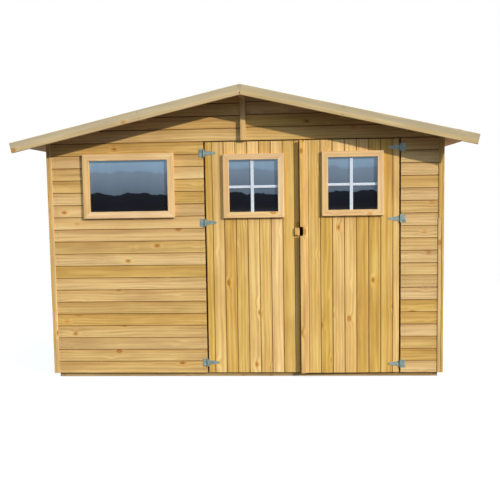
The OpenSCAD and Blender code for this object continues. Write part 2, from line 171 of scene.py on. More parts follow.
# The right slope's own frame: X down the slope from the ridge, Z square to the bargeboard's top
barge = corners("front_bargeboard_right")
apex = max(barge, key=lambda p: p.z)
eave = max(barge, key=lambda p: p.x)
PITCH = math.atan2(apex.z - eave.z, eave.x)
RIGHT_SLOPE = Matrix.Translation((0, 0, apex.z)) @ Matrix.Rotation(PITCH, 4, "Y")
LEFT_SLOPE = Matrix.Rotation(math.pi, 4, "Z") @ RIGHT_SLOPE


def on_slope(node, slope, keep=lambda p: True):
    """The corners of a node in the frame of a slope."""
    return span(corners(node, keep, slope.inverted()))


# Shaping timber


def near(a, b):
    """Whether two places are the same but for rounding."""
    return abs(a - b) < 1e-5


def block(name, low, high):
    """A closed box between two corners."""
    low, high = Vector(low), Vector(high)
    bpy.ops.object.select_all(action="DESELECT")
    bpy.ops.mesh.primitive_cube_add(size=1, location=(low + high) / 2)
    piece = bpy.context.object
    piece.name = name
    piece.scale = high - low
    bpy.ops.object.transform_apply(location=True, rotation=True, scale=True)
    return piece


def edit(piece, kind="EDGE", pick=None):
    """Opens a piece in edit mode with all of it selected, or only what pick() accepts."""
    bpy.ops.object.select_all(action="DESELECT")
    piece.select_set(True)
    bpy.context.view_layer.objects.active = piece
    bpy.ops.object.mode_set(mode="EDIT")
    bpy.ops.mesh.select_mode(type=kind)
    bpy.ops.mesh.select_all(action="DESELECT" if pick else "SELECT")
    if pick:
        mesh = bmesh.from_edit_mesh(piece.data)
        for part in mesh.edges if kind == "EDGE" else mesh.faces:
            if pick(part):
                part.select_set(True)
        bmesh.update_edit_mesh(piece.data)


def leave():
    """Goes back to object mode."""
    bpy.ops.object.mode_set(mode="OBJECT")


def plane_edge(piece, places, width, segments=1, profile=0.5):
    """Planes the edges that lie at the given places, such as {Y: front, Z: top}."""
    edit(piece, "EDGE", lambda e: all(near(v.co[a], at) for v in e.verts for a, at in places.items()))
    bevel(width, segments, profile)


def bevel(width, segments=1, profile=0.5):
    """Bevels the edges that are selected, and leaves edit mode."""
    bpy.ops.mesh.bevel(offset=width, segments=segments, profile=profile, affect="EDGES")
    leave()


def saw(piece, point, normal):
    """Saws off what lies beyond a plane and closes the cut."""
    edit(piece)
    bpy.ops.mesh.bisect(plane_co=point, plane_no=normal, use_fill=True, clear_outer=True)
    leave()


def grow(piece, run, across, low, high):
    """Writes the wood's own coordinates: along, across and through the board, and its place in it."""
    shift = [dice.uniform(0, 40), dice.uniform(-0.12, 0.12), dice.uniform(-0.12, 0.12)]
    tone, hue = dice.random(), dice.random()
    third = 3 - run - across
    grain = piece.data.attributes.new("grain", "FLOAT_VECTOR", "POINT")
    board = piece.data.attributes.new("board", "FLOAT_VECTOR", "POINT")
    for v in piece.data.vertices:
        rise = (v.co[across] - low[across]) / (high[across] - low[across])
        place = (v.co[run], v.co[across] - low[across], v.co[third] - low[third])
        grain.data[v.index].vector = [a + b for a, b in zip(place, shift)]
        board.data[v.index].vector = (tone, rise, hue)


def timber(low, high, run, across, face=None, joint=None):
    """A length of timber between two corners. face is (axis, place) of the side that shows."""
    piece = block("timber", low, high)
    if joint:
        joint(piece, low, high, across, face)
    else:
        ease(piece, run, ARRIS)
    grow(piece, run, across, low, high)
    return piece


def ease(piece, run, width):
    """Takes the sharpness off the long edges."""
    edit(piece, "EDGE", lambda e: not near(e.verts[0].co[run], e.verts[1].co[run]))
    bevel(width, 2)


def shiplap(piece, low, high, across, face):
    """The upper edge has a hollow for the board above, and the lower edge is square."""
    plane_edge(piece, {face[0]: face[1], across: high[across]}, SHIPLAP_COVE, 4, 0.3)
    plane_edge(piece, {face[0]: face[1], across: low[across]}, ARRIS / 2)


def matched(piece, low, high, across, face):
    """Both edges are planed to make a V where two boards meet."""
    plane_edge(piece, {face[0]: face[1], across: low[across]}, MATCHED_V)
    plane_edge(piece, {face[0]: face[1], across: high[across]}, MATCHED_V)


def eased(piece, low, high, across, face):
    """All four long edges are rounded over."""
    ease(piece, 3 - across - face[0], BATTEN_ARRIS)


def join(name, pieces):
    """Makes one object of several."""
    bpy.ops.object.select_all(action="DESELECT")
    for piece in pieces:
        piece.select_set(True)
    bpy.context.view_layer.objects.active = pieces[0]
    if len(pieces) > 1:
        bpy.ops.object.join()
    pieces[0].name = name
    pieces[0].data.name = name
    return pieces[0]


def put(piece, matrix):
    """Moves a piece to its place, which it then has in its mesh."""
    bpy.ops.object.select_all(action="DESELECT")
    piece.select_set(True)
    bpy.context.view_layer.objects.active = piece
    piece.matrix_world = matrix @ piece.matrix_world
    bpy.ops.object.transform_apply(location=True, rotation=True, scale=True)
    return piece


def fit(piece, finish, body, slot, *nodes):
    """Gives a piece its finish and its body, and hides the CAD nodes that it stands for. slot is not used."""
    piece.data.materials.clear()
    piece.data.materials.append(finish)
    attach(piece, body)
    if nodes:
        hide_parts(*nodes)
    return piece


def steps(start, end, step, first=None):
    """Edges of boards from start to end: full boards, with the first and the last cut to width."""
    edges = [start]
    at = start + (first or step)
    while at < end - LEAST_BOARD:
        edges.append(at)
        at += step
    return edges + [end]


def boards(low, high, run, across, face, joint, cover, hole=None, first=None):
    """Boards side by side between two corners, and round a hole given by its own two corners."""
    made = []
    edges = steps(low[across], high[across], cover, first)
    for a, b in zip(edges, edges[1:]):
        for r0, r1, c0, c1 in round_hole(low[run], high[run], a, b, hole, run, across):
            one, two = Vector(low), Vector(high)
            one[run], two[run], one[across], two[across] = r0, r1, c0, c1
            made.append(timber(one, two, run, across, face, joint))
    return made


def round_hole(r0, r1, c0, c1, hole, run, across):
    """Splits one board's rectangle into the parts that are left round a hole."""
    if not hole or hole[1][across] <= c0 or hole[0][across] >= c1:
        return [(r0, r1, c0, c1)]
    parts = [(r0, hole[0][run], c0, c1), (hole[1][run], r1, c0, c1)]
    if hole[0][across] > c0 + ARRIS:
        parts.append((hole[0][run], hole[1][run], c0, hole[0][across]))
    if hole[1][across] < c1 - ARRIS:
        parts.append((hole[0][run], hole[1][run], hole[1][across], c1))
    return parts


# Materials


def colour(code):
    """An sRGB hex code as a linear colour."""
    values = [int(code[i : i + 2], 16) / 255 for i in (1, 3, 5)]
    return [v / 12.92 if v <= 0.04045 else ((v + 0.055) / 1.055) ** 2.4 for v in values] + [1.0]


def wire(tree, node, links):
    """Sets a node's inputs, each from another node, from one of its sockets or to a plain value."""
    for key, value in links.items():
        if isinstance(value, bpy.types.Node):
            value = value.outputs[0]
        if isinstance(value, bpy.types.NodeSocket):
            tree.links.new(value, node.inputs[key])
        else:
            node.inputs[key].default_value = value


def add(tree, kind, links=None, stops=None, **settings):
    """Adds a shader node with its settings, its inputs and a ramp's stops."""
    node = tree.nodes.new("ShaderNode" + kind)
    for key, value in settings.items():
        setattr(node, key, value)
    wire(tree, node, links or {})
    if stops:
        elements = node.color_ramp.elements
        while len(elements) < len(stops):
            elements.new(0.5)
        for element, (at, code) in zip(elements, stops):
            element.position = at
            element.color = colour(code)
    return node


def ramp(tree, value, a, b, low, high, **settings):
    """Maps a to low and b to high, with nothing beyond them."""
    return add(tree, "MapRange", {0: value, 1: a, 2: b, 3: low, 4: high}, **settings)


def math_node(tree, operation, *values):
    """A sum, a product or the like of up to three values."""
    return add(tree, "Math", dict(enumerate(values)), operation=operation)


def stretched(tree, place, sizes):
    """Coordinates that rise by one over each of three lengths, which are in millimetres."""
    return add(tree, "VectorMath", {0: place, 1: [1000 / mm for mm in sizes]}, operation="MULTIPLY")


def noise(tree, place, sizes, detail=2.0, rough=0.5):
    """Cloudy patches of about the given three lengths in millimetres."""
    place = stretched(tree, place, sizes)
    return add(tree, "TexNoise", {"Vector": place, "Scale": 1.0, "Detail": detail, "Roughness": rough})


def grit(tree, size, detail=4.0, rough=0.5):
    """Patches of about size millimetres, fixed to the object."""
    place = add(tree, "TexCoord").outputs["Object"]
    return noise(tree, place, (size, size, size), detail, rough)


def tint(tree, how, amount, first, second):
    """Lays the second colour over the first."""
    return add(tree, "MixRGB", {0: amount, 1: first, 2: second}, blend_type=how)


def bump(tree, height, strength, millimetres):
    """A bump that stands up to some millimetres high."""
    return add(tree, "Bump", {"Height": height, "Strength": strength, "Distance": millimetres / 1000})


def material(name):
    """A new material, its node tree and its surface shader."""
    made = bpy.data.materials.new(name)
    made.use_nodes = True
    tree = made.node_tree
    return made, tree, tree.nodes["Principled BSDF"]


def wood_place(tree, run):
    """The grain's coordinates, the board's tone, how far across the board a point is, and its hue."""
    if run is None:
        grain = add(tree, "Attribute", attribute_name="grain").outputs["Vector"]
        board = add(tree, "Attribute", attribute_name="board").outputs["Vector"]
        tone, rise, hue = add(tree, "SeparateXYZ", {0: board}).outputs
        return grain, tone, rise, hue
    place = add(tree, "SeparateXYZ", {0: add(tree, "TexCoord").outputs["Object"]}).outputs
    order = [run] + [axis for axis in (Z, X, Y) if axis != run]
    grain = add(tree, "CombineXYZ", {i: place[axis] for i, axis in enumerate(order)})
    tone = noise(tree, grain, (5000, 400, 400), 0.0)
    return grain, tone, 0.5, tone


def pine(name, light, middle, dark, run=None, spread=0.10, grey=0.0, dirt_and_shade=True, shade="#FFFFFF"):
    """Planed or sawn softwood: streaks and rings along the board, knots, and a tone for each board.

    run is the axis of the grain on a CAD node; other pieces carry their own wood coordinates.
    spread is how far the boards differ, and shade is a painted shade towards each board's upper edge.
    """
    made, tree, surface = material(name)
    grain, tone, rise, hue = wood_place(tree, run)
    # Knots about 20 mm across, one or so to a metre of board
    knot = add(tree, "TexVoronoi", {"Vector": stretched(tree, grain, KNOTS), "Scale": 1.0})
    swirl = ramp(tree, knot, 0.0, 0.34, 0.022, 0.0, interpolation_type="SMOOTHSTEP")
    # The grain wanders by about a centimetre and runs round the knots
    wander = math_node(tree, "MULTIPLY_ADD", noise(tree, grain, WANDER), 0.045, swirl)
    bent = add(tree, "VectorMath", {0: grain, 1: add(tree, "CombineXYZ", {1: wander})}, operation="ADD")
    # Growth rings, drawn 22 mm apart so that they show
    rings = add(tree, "TexWave", {
        "Vector": stretched(tree, bent, RINGS), "Scale": math.tau / 20 / RING_STEP,
        "Distortion": 1.5, "Detail": 2.0, "Detail Scale": 2.0}, wave_type="RINGS", rings_direction="X")
    # Streaks about 10 mm wide, fibres of 1 mm, and flames about 40 mm wide
    streaks = noise(tree, bent, STREAKS, 5.0, 0.6)
    fibres = noise(tree, bent, FIBRES)
    flames = noise(tree, bent, FLAMES)
    lines = math_node(tree, "ADD", streaks, flames)
    lines = math_node(tree, "MULTIPLY_ADD", fibres, 0.22, lines)
    lines = math_node(tree, "MULTIPLY_ADD", lines, 0.5, -0.055)
    lines = math_node(tree, "MULTIPLY_ADD", rings, 0.20, lines)
    wood = add(tree, "ValToRGB", {0: lines}, stops=[(0.30, light), (0.56, middle), (1.0, dark)])
    # Broad stains left by the treatment
    stain = ramp(tree, noise(tree, grain, STAINS, 3.0), 0.46, 0.72, 0.0, 0.42)
    wood = tint(tree, "MIX", stain, wood, colour(dark))
    if grey:
        # Weather greys the upper part of the board and leaves a fresher band below
        worn = ramp(tree, streaks, 0.35, 0.65, grey * 0.5, grey)
        worn = math_node(tree, "MULTIPLY", worn, ramp(tree, rise, 0.34, 0.46, 0.0, 1.0))
        wood = tint(tree, "MIX", worn, wood, colour("#A79C82"))
    # Each board is a little lighter or darker, and redder or yellower, than the next
    value = ramp(tree, tone, 0.0, 1.0, 1.0 - spread, 1.0 + spread)
    # The wood is paler round a knot
    value = math_node(tree, "MULTIPLY_ADD", swirl, 4.0, value)
    wood = add(tree, "HueSaturation", {
        "Hue": ramp(tree, hue, 0.0, 1.0, 0.4955, 0.5005), "Saturation": ramp(tree, tone, 0.0, 1.0, 1.08, 0.9),
        "Value": value, "Color": wood})
    # A knot has a brown rim round a paler heart
    heart = add(tree, "ValToRGB", {0: knot}, stops=[
        (0.0, "#F0D8AC"), (0.045, "#DEBE8C"), (0.07, "#B4925F"), (0.095, "#ECDAB8"), (0.17, "#FFFFFF")])
    wood = tint(tree, "MULTIPLY", 1.0, wood, heart)
    if dirt_and_shade and run is None:
        # Dirt lies along both edges of a board, and a painted shade comes down from the lip of the upper one
        joint = add(tree, "ValToRGB", {0: rise}, stops=[
            (0.0, "#8F7657"), (0.02, "#EFE6D6"), (0.05, "#FFFFFF"), (0.45, "#FFFFFF"), (0.93, shade),
            (0.985, "#7E6747")])
        wood = tint(tree, "MULTIPLY", 1.0, wood, joint)
    wire(tree, surface, {
        "Base Color": wood, "Roughness": ramp(tree, lines, 0.3, 0.9, 0.62, 0.8), "IOR": 1.45,
        "Normal": bump(tree, lines, 0.4, 0.6)})
    return made


def mineral_felt():
    """Bitumen felt faced with crushed slate: matt, dark grey, with pale and dark grit."""
    made, tree, surface = material("slate_faced_bitumen_felt")
    # The grit is drawn as 5 mm patches so that it shows
    slate = grit(tree, 5.3, 4.0, 0.75)
    tone = add(tree, "ValToRGB", {0: slate}, stops=[(0.30, "#262726"), (0.52, "#43443F"), (0.74, "#706F68")])
    # Clouds half a metre wide where the slate has worn thin
    fade = ramp(tree, grit(tree, 450), 0.4, 0.7, 0.0, 0.35)
    wire(tree, surface, {
        "Base Color": tint(tree, "MIX", fade, tone, colour("#4C524D")), "Roughness": 0.93,
        "Normal": bump(tree, slate, 0.6, 1.2)})
    return made


def zinc_plated_steel():
    """Pressed steel hinges dipped in zinc: green-grey, dull, with cloudy spangle."""
    made, tree, surface = material("zinc_plated_pressed_steel")
    place = add(tree, "TexCoord").outputs["Object"]
    spangle = add(tree, "TexVoronoi", {"Vector": stretched(tree, place, (6, 6, 6)), "Scale": 1.0})
    cloud = grit(tree, 22)
    mixed = math_node(tree, "MULTIPLY_ADD", spangle, 0.35, cloud)
    tone = add(tree, "ValToRGB", {0: mixed}, stops=[(0.35, "#5C6E70"), (0.62, "#778A86"), (0.9, "#98A6A0")])
    wire(tree, surface, {
        "Base Color": tone, "Metallic": 0.55, "Roughness": ramp(tree, mixed, 0.3, 0.9, 0.42, 0.62),
        "Normal": bump(tree, cloud, 0.25, 0.4)})
    return made


def wire_steel(name, dark, light, metallic):
    """Heads of drawn wire nails or screws, mottled over a few millimetres."""
    made, tree, surface = material(name)
    tone = add(tree, "ValToRGB", {0: grit(tree, 4.5, 3.0)}, stops=[(0.35, dark), (0.65, light)])
    wire(tree, surface, {"Base Color": tone, "Metallic": metallic, "Roughness": 0.45})
    return made


def white_enamel():
    """Painted glazing bars: white with a trace of blue, satin, with faint brush marks."""
    made, tree, surface = material("white_brushed_enamel")
    brush = grit(tree, 17, 3.0)
    tone = add(tree, "ValToRGB", {0: brush}, stops=[(0.3, "#C4C9D3"), (0.7, "#D6DAE2")])
    wire(tree, surface, {"Base Color": tone, "Roughness": 0.38, "Normal": bump(tree, brush, 0.15, 0.3)})
    return made


def glass_with_painted_reflection():
    """Float glass before a dark room, with a painted reflection: near black hills low down, grey-blue above,
    paler sky at the top.
    """
    made, tree, surface = material("glass_with_painted_reflection")
    place = add(tree, "TexCoord").outputs["Object"]
    height = add(tree, "SeparateXYZ", {0: place}).outputs["Z"]
    # The edges between the painted bands waver like a hill line over a quarter of a metre, and 80 mm either
    # way at most
    painted_hill_line = noise(tree, place, (260, 260, 400), 5.0, 0.55)
    ragged = math_node(tree, "MULTIPLY_ADD", painted_hill_line, 0.16, height)
    level = ramp(tree, ragged, 1.33, 1.83, 0.0, 1.0)
    tone = add(tree, "ValToRGB", {0: level}, stops=[
        (0.0, "#0B0C10"), (0.30, "#12141A"), (0.315, "#48535F"), (0.65, "#5D6A79"), (0.68, "#65788A"),
        (0.85, "#6E8497")])
    # A weak light of its own stands for the sky that the glass mirrors
    wire(tree, surface, {
        "Base Color": tone, "Emission Color": tone, "Emission Strength": 0.6, "Roughness": 0.04,
        "IOR": 1.52, "Alpha": 0.93})
    return made


# Pieces of the walls


def wall(node, run, out, first=None, hole=None):
    """Shiplap boards in the place of a wall panel. out is -1 or 1, the side that they face."""
    low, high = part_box(node)
    thick = 3 - run - Z
    face = (thick, low[thick] if out < 0 else high[thick])
    return boards(low, high, run, Z, face, shiplap, SHIPLAP_COVER, hole, first)


def glass_hole(low, high):
    """The corners of the hole that boards leave for a pane."""
    slack = Vector((GLASS_SLACK, 0, GLASS_SLACK))
    return low - slack, high + slack


def front_cladding():
    """The boards on either side of the doorway."""
    hole = glass_hole(*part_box("window_glass"))
    left = join("front_cladding_left", wall("front_panel_left", X, -1, hole=hole))
    fit(left, cladding_pine, "shed", "cladding_pine", "front_panel_left")
    right = join("front_cladding_right", wall("front_panel_right", X, -1))
    fit(right, cladding_pine, "shed", "cladding_pine", "front_panel_right")


def under_slopes(pieces):
    """Saws some boards to both slopes of the roof boards' underside, and returns what is left."""
    underside = on_slope("roof_deck_right", RIGHT_SLOPE)[0].z
    for slope in (RIGHT_SLOPE, LEFT_SLOPE):
        point = slope @ Vector((0, 0, underside))
        normal = slope.to_3x3() @ Vector((0, 0, 1))
        for piece in pieces:
            saw(piece, point, normal)
    left = [p for p in pieces if len(p.data.vertices)]
    for piece in pieces:
        if not len(piece.data.vertices):
            bpy.data.objects.remove(piece)
    return left


def gable_cladding():
    """The boards of the front gable's two halves and of the back gable."""
    for name, node, out, first in (
        ("front_gable_cladding_left", "front_gable_left", -1, SHIPLAP_COVER),
        ("front_gable_cladding_right", "front_gable_right", -1, SHIPLAP_COVER + GABLE_STEP),
        ("back_gable_cladding", "back_gable", 1, SHIPLAP_COVER),
    ):
        made = under_slopes(wall(node, X, out, first))
        fit(join(name, made), cladding_pine, "shed", "cladding_pine", node)


def plain_walls():
    """The boards of the back and of both sides."""
    back = join("back_cladding", wall("back_panel", X, 1))
    fit(back, cladding_pine, "shed", "cladding_pine", "back_panel")
    for name, node, out in (
        ("left_side_cladding", "left_side_panel", -1),
        ("right_side_cladding", "right_side_panel", 1),
    ):
        fit(join(name, under_slopes(wall(node, Y, out))), cladding_pine, "shed", "cladding_pine", node)


def battens(name, node):
    """Upright battens with rounded edges, sawn to the roof's underside."""
    made = []
    for stick in solids(node):
        low, high = span(stick)
        wide = X if high.x - low.x > high.y - low.y else Y
        face = (3 - Z - wide, low.y)
        if node == "end_corner_battens" and low.x > 0 and low.y < 0:
            # The batten at the front right corner is in two lengths that don't quite line up
            made.append(timber((low.x, low.y, SPLICE_Z), high, Z, wide, face, eased))
            low.x, high.x, high.z = low.x - SPLICE_STEP, high.x - SPLICE_STEP, SPLICE_Z - BATTEN_ARRIS
        made.append(timber(low, high, Z, wide, face, eased))
    fit(join(name, under_slopes(made)), batten_pine, "shed", "batten_pine", node)


# Casings and windows


def mitre(piece, point, normal):
    """Saws a corner off and eases the cut's edges."""
    saw(piece, point, normal)
    at = point.dot(normal)
    edit(piece, "EDGE", lambda e: all(near(v.co.dot(normal), at) for v in e.verts))
    bevel(MITRE_GAP / 2)


def mitred_casing(name, node, body, turn=Matrix()):
    """Four planed boards with mitred corners round an opening."""
    points = corners(node, turn=turn.inverted())
    low, high = span(points)
    member = min(p.x for p in points if p.x > low.x + ARRIS) - low.x
    middle = (low + high) / 2
    made = []
    for one, two, run, side in (
        (low, (high.x, high.y, low.z + member), X, -1),
        ((low.x, low.y, high.z - member), high, X, 1),
        (low, (low.x + member, high.y, high.z), Z, -1),
        ((high.x - member, low.y, low.z), high, Z, 1),
    ):
        piece = timber(one, two, run, Z if run == X else X, (Y, low.y), eased)
        for x in (low.x, high.x):
            for z in (low.z, high.z):
                right, up = math.copysign(1, x - middle.x), math.copysign(1, z - middle.z)
                if run == X and side * up > 0:
                    mitre(piece, Vector((x, 0, z)), Vector((right, 0, -up)))
                if run == Z and side * right > 0:
                    mitre(piece, Vector((x, 0, z)), Vector((-right, 0, up)))
        made.append(piece)
    piece = put(join(name, made), turn)
    return fit(piece, casing_pine, body, "casing_pine", node)


def glazing_bars(name, node, body, turn=Matrix()):
    """A cross of two bars with rounded faces, halved together."""
    points = corners(node, turn=turn.inverted())
    low, high = span(points)
    up_low, up_high = span([p for p in points if near(p.z, high.z)])
    level_low, level_high = span([p for p in points if near(p.x, high.x)])
    upright = block("upright", (up_low.x, low.y, low.z), (up_high.x, high.y, high.z))
    for x in (up_low.x, up_high.x):
        plane_edge(upright, {Y: low.y, X: x}, BAR_ROUND, 3)
    made = [upright]
    face = low.y + BAR_STEP
    for x0, x1 in ((low.x, up_low.x), (up_high.x, high.x)):
        bar = block("level", (x0, face, level_low.z), (x1, high.y, level_high.z))
        for z in (level_low.z, level_high.z):
            plane_edge(bar, {Y: face, Z: z}, BAR_ROUND, 3)
        made.append(bar)
    return fit(put(join(name, made), turn), white_paint, body, "white_bars", node)


# Doors


def leaf_boards(name, node, glass, body, widths, turn=Matrix()):
    """Upright matched boards round the hole for the glass."""
    low, high = span(corners(node, turn=turn.inverted()))
    hole = glass_hole(*span(corners(glass, turn=turn.inverted())))
    first, cover = widths
    if body == "left_door":
        low.x += LEAF_TRIM
        first -= LEAF_TRIM
    else:
        high.x -= LEAF_TRIM
    made = boards(low, high, Z, X, (Y, low.y), matched, cover, hole, first)
    return fit(put(join(name, made), turn), door_pine, body, "door_pine", node)


def cover_strips():
    """The strips above and below the lock, at the right leaf's meeting edge."""
    made = []
    for part in solids("right_door_cover_strips", CLOSED):
        low, high = span(part)
        made.append(timber(low, high, Z, X, (Y, low.y), eased))
    piece = put(join("door_cover_strips", made), AJAR)
    fit(piece, strip_pine, "right_door", "batten_pine", "right_door_cover_strips")


def lock_keep():
    """The block on the left leaf that the lock's bolt goes into."""
    low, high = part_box("left_door_keep")
    piece = timber(low, high, Z, X, (Y, low.y), eased)
    fit(join("door_lock_keep", [piece]), strip_pine, "left_door", "casing_pine", "left_door_keep")


# Roof and floor


def floor_boards():
    """Boards from side to side."""
    low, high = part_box("floor_deck")
    made = boards(low, high, X, Y, (Z, high.z), matched, FLOOR_COVER)
    fit(join("floor_boards", made), floor_pine, "shed", "floor_pine", "floor_deck")


def ridge_cut(piece, slope):
    """Saws a piece of a slope plumb at the ridge."""
    saw(piece, (0, 0, 0), (-1 if slope is RIGHT_SLOPE else 1, 0, 0))


def roof_boards(name, node, slope):
    """Boards from the ridge to the eaves, with their planed faces down."""
    low, high = on_slope(node, slope)
    made = boards(low, high, X, Y, (Z, low.z), matched, ROOF_COVER)
    for piece in made:
        ridge_cut(put(piece, slope), slope)
    fit(join(name, made), roof_pine, "shed", "roof_board_pine", node)


def bargeboard(name, node, slope):
    """A board with rounded edges and a plumb cut at the ridge."""
    low, high = on_slope(node, slope)
    piece = timber(low, high, X, Z, (Y, low.y), eased)
    ridge_cut(put(piece, slope), slope)
    plane_edge(piece, {X: 0}, BARGE_MITRE)
    fit(join(name, [piece]), barge_pine, "shed", "bargeboard_pine", node)


def felt_strip(low, high, lift_from, lift):
    """A strip of felt that rises by lift at its lower edge, over the strip below."""
    strip = block("strip", low, high)
    for at in (lift_from - FELT_BEND, lift_from):
        edit(strip)
        bpy.ops.mesh.bisect(plane_co=(at, 0, 0), plane_no=(1, 0, 0))
        leave()
    edit(strip, "FACE", lambda f: all(v.co.x > lift_from - 1e-4 for v in f.verts))
    bpy.ops.transform.translate(value=(0, 0, lift))
    leave()
    return strip


def roof_felt(name, node, slope):
    """Two strips of felt on a slope, the upper one lapped over the lower."""
    low, high = on_slope(node, slope)
    thick = high.z - low.z
    lap = high.x - FELT_ROLL
    lower = block("lower", (lap - FELT_SIDE_LAP, low.y, low.z), high)
    upper = felt_strip(low, (lap, high.y, high.z), lap - FELT_SIDE_LAP, thick)
    made = [lower, upper]
    for piece in made:
        ridge_cut(put(piece, slope), slope)
    fit(join(name, made), felt, "shed", "roofing_felt", node)


def ridge_cap():
    """The last strip of felt, folded over the ridge."""
    made = []
    for slope in (RIGHT_SLOPE, LEFT_SLOPE):
        low, high = on_slope("ridge_cap", slope, lambda p: p.x > 0 or near(p.x, 0))
        piece = put(block("cap", low, high), slope)
        ridge_cut(piece, slope)
        made.append(piece)
    fit(join("ridge_cap_felt", made), felt, "shed", "roofing_felt", "ridge_cap")


def head(radius, height, sides, domed):
    """A nail's or screw's round head, lying on Z = 0. domed lifts its middle, or sinks it below 0."""
    bpy.ops.object.select_all(action="DESELECT")
    bpy.ops.mesh.primitive_cylinder_add(
        vertices=sides, radius=radius, depth=height, location=(0, 0, height / 2))
    piece = bpy.context.object
    bpy.ops.object.transform_apply(location=True, rotation=True, scale=True)
    edit(piece, "FACE", lambda f: f.normal.z > 0.9)
    bpy.ops.mesh.inset(thickness=radius * HEAD_INSET)
    bpy.ops.transform.translate(value=(0, 0, domed))
    leave()
    return piece


def scatter(name, model, places, body, finish, slot):
    """Sets a copy of a head at each place, all in one object."""
    made = []
    for place in places:
        copy = bpy.data.objects.new(name, model.data.copy())
        bpy.context.collection.objects.link(copy)
        copy.data.transform(place)
        made.append(copy)
    fit(join(name, made), finish, body, slot)


def clout_nails():
    """Galvanised clouts along the felt's eaves and laps and along the ridge cap."""
    model = head(CLOUT_R, CLOUT_H, 8, 0.0003)
    places = []
    for slope, node in ((RIGHT_SLOPE, "roof_felt_right"), (LEFT_SLOPE, "roof_felt_left")):
        low, high = on_slope(node, slope)
        cap = on_slope("ridge_cap", slope)[1]
        count = round((high.y - low.y) / CLOUT_STEP)
        rows = (
            (high.x - CLOUT_EDGE_IN, high.z),
            (high.x - FELT_ROLL - CLOUT_LAP_IN, 2 * high.z - low.z),
            (cap.x - CLOUT_EDGE_IN, cap.z),
        )
        for i in range(count):
            y = low.y + (i + 0.5) * (high.y - low.y) / count
            for u, w in rows:
                places.append(slope @ Matrix.Translation((u, y, w)))
    scatter("felt_clout_nails", model, places, "shed", zinc, "zinc_steel")
    bpy.data.objects.remove(model)


def hinge_screws():
    """Four screws in each strap and four in each plate."""
    model = head(SCREW_R, SCREW_H, 14, -0.0006)
    for body, node, side, turn in (
        ("left_door", "left_door_straps", 1, Matrix()),
        ("right_door", "right_door_straps", -1, AJAR),
    ):
        places = []
        for strap in solids(node, turn.inverted()):
            low, high = span(strap)
            face = high.y - HINGE_T
            root, tip = (low.x, high.x) if side > 0 else (high.x, low.x)
            for share, rise in STRAP_SCREWS:
                x = root + (tip - root) * share
                spot = Matrix.Translation((x, face, (low.z + high.z) / 2 + rise))
                places.append(turn @ spot @ FACING_FRONT)
        scatter(body + "_strap_screws", model, places, body, steel, "zinc_steel")
    places = []
    for plate in solids("hinge_plates"):
        low, high = span(plate)
        face = high.y - HINGE_T
        outer, inner = (low.x, high.x) if low.x < 0 else (high.x, low.x)
        for share, rise in PLATE_SCREWS:
            x = outer + (inner - outer) * share
            z = (low.z + high.z) / 2 + rise * (high.z - low.z)
            places.append(Matrix.Translation((x, face, z)) @ FACING_FRONT)
    scatter("hinge_plate_screws", model, places, "shed", steel, "zinc_steel")
    bpy.data.objects.remove(model)


def cladding_nails():
    """Three wire nails at each end of each front board."""
    model = head(NAIL_R, NAIL_H, 8, 0.0002)
    places = []
    for node in ("front_panel_left", "front_panel_right"):
        low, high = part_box(node)
        rows = steps(low.z, high.z, SHIPLAP_COVER)
        for z0, z1 in zip(rows, rows[1:]):
            for x in (low.x + NAIL_IN, high.x - NAIL_IN):
                for rise in NAIL_RISES:
                    z = z0 + (z1 - z0) * rise + dice.uniform(-NAIL_STRAY, NAIL_STRAY)
                    spot = Matrix.Translation((x + dice.uniform(-NAIL_STRAY, NAIL_STRAY), low.y, z))
                    places.append(spot @ FACING_FRONT)
    scatter("cladding_nails", model, places, "shed", rusty_steel, "zinc_steel")
    bpy.data.objects.remove(model)


def bargeboard_nails():
    """Pairs of galvanised nails where the bargeboards meet the ridge beam and the purlins."""
    model = head(BARGE_NAIL_R, CLOUT_H, 10, 0.0003)
    low = on_slope("front_bargeboard_right", RIGHT_SLOPE)[0]
    purlin_low, purlin_high = on_slope("purlins", RIGHT_SLOPE, lambda p: p.x > 0)
    places = []
    for slope in (RIGHT_SLOPE, LEFT_SLOPE):
        for u in (BARGE_NAIL_IN, (purlin_low.x + purlin_high.x) / 2):
            for w in (-BARGE_NAIL_IN, low.z + BARGE_NAIL_IN):
                for side in (-1, 1):
                    facing = Matrix.Rotation(-side * math.radians(90), 4, "X")
                    places.append(slope @ Matrix.Translation((u, -side * low.y, w)) @ facing)
    scatter("bargeboard_nails", model, places, "shed", zinc, "zinc_steel")
    bpy.data.objects.remove(model)


def refinish(node, finish):
    """Gives a CAD node that keeps its shape a finish."""
    for slot in frame["nodes"][node].material_slots:
        slot.material = finish


# Surroundings


def pale_floor():
    """A pale floor that fades to white away from the shed."""
    bpy.ops.object.select_all(action="DESELECT")
    bpy.ops.mesh.primitive_circle_add(vertices=96, radius=FLOOR_R, fill_type="NGON")
    floor = bpy.context.object
    floor.name = "floor"
    made, tree, surface = material("pale_matt_floor")
    place = add(tree, "TexCoord").outputs["Object"]
    distance = add(tree, "VectorMath", {0: place}, operation="LENGTH").outputs["Value"]
    white = ramp(tree, distance, *FLOOR_FADE, 0.5, 1.0, interpolation_type="SMOOTHSTEP")
    wire(tree, surface, {"Base Color": (0.92, 0.92, 0.92, 1), "Roughness": 1.0, "Specular IOR Level": 0.0})
    glow = add(tree, "Emission", {"Color": (1, 1, 1, 1), "Strength": 1.0})
    both = add(tree, "MixShader", {0: white, 1: surface, 2: glow})
    wire(tree, tree.nodes["Material Output"], {"Surface": both})
    floor.data.materials.append(made)
    floor.visible_diffuse = False


def sun(name, azimuth, elevation, size, energy, tone):
    """A distant light. azimuth turns it from straight before the doors to the right; degrees."""
    lamp = bpy.data.lights.new(name, "SUN")
    lamp.energy = energy
    lamp.angle = math.radians(size)
    lamp.color = tone
    lit = bpy.data.objects.new(name, lamp)
    bpy.context.scene.collection.objects.link(lit)
    tip = Matrix.Rotation(math.radians(90 - elevation), 4, "X")
    lit.matrix_world = Matrix.Rotation(math.radians(azimuth), 4, "Z") @ tip


